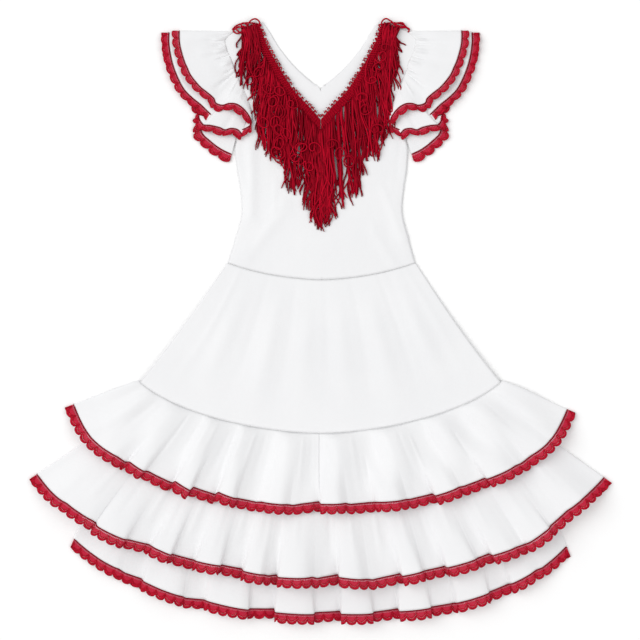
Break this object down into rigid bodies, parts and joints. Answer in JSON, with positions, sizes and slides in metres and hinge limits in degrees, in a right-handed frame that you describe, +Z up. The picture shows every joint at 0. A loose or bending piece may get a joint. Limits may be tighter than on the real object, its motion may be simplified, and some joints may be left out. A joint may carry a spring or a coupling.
{
  "type": "flamenco dress",
  "caption": "Girl's flamenco dress laid flat: V neck with cord fringe, dropped waist, flared skirt with tiered frills and frilled sleeves, all edged with scalloped lace",
  "frame": {"origin": "middle of the underside of the dress as it lies flat", "axes": "+Y towards the neck, -Y towards the hem, +X towards the wearer's left sleeve, +Z up off the surface it lies on"},
  "size_m": [0.867, 0.9056, 0.0437],
  "materials": {
    "white_cloth": "smooth matt white stretch crepe with a faint sheen",
    "crimson_lace": "narrow scalloped crimson lace with an openwork ground",
    "crimson_cord": "deep crimson twisted rayon cord"
  },
  "bodies": {
    "root": {"bodice_front": "white_cloth", "bodice_back": "white_cloth", "skirt_front": "white_cloth", "skirt_back": "white_cloth", "lower_skirt_front": "white_cloth", "lower_skirt_back": "white_cloth", "frill_1": "white_cloth", "frill_2": "white_cloth", "frill_3": "white_cloth", "sleeve_outer_left": "white_cloth", "sleeve_outer_right": "white_cloth", "sleeve_inner_left": "white_cloth", "sleeve_inner_right": "white_cloth", "frill_1_lace": "crimson_lace", "frill_2_lace": "crimson_lace", "frill_3_lace": "crimson_lace", "sleeve_outer_lace_left": "crimson_lace", "sleeve_outer_lace_right": "crimson_lace", "sleeve_inner_lace_left": "crimson_lace", "sleeve_inner_lace_right": "crimson_lace", "fringe_left": "crimson_cord", "fringe_right": "crimson_cord", "shoulder_loop_left": "crimson_cord", "shoulder_loop_right": "crimson_cord"}
  },
  "joints": []
}
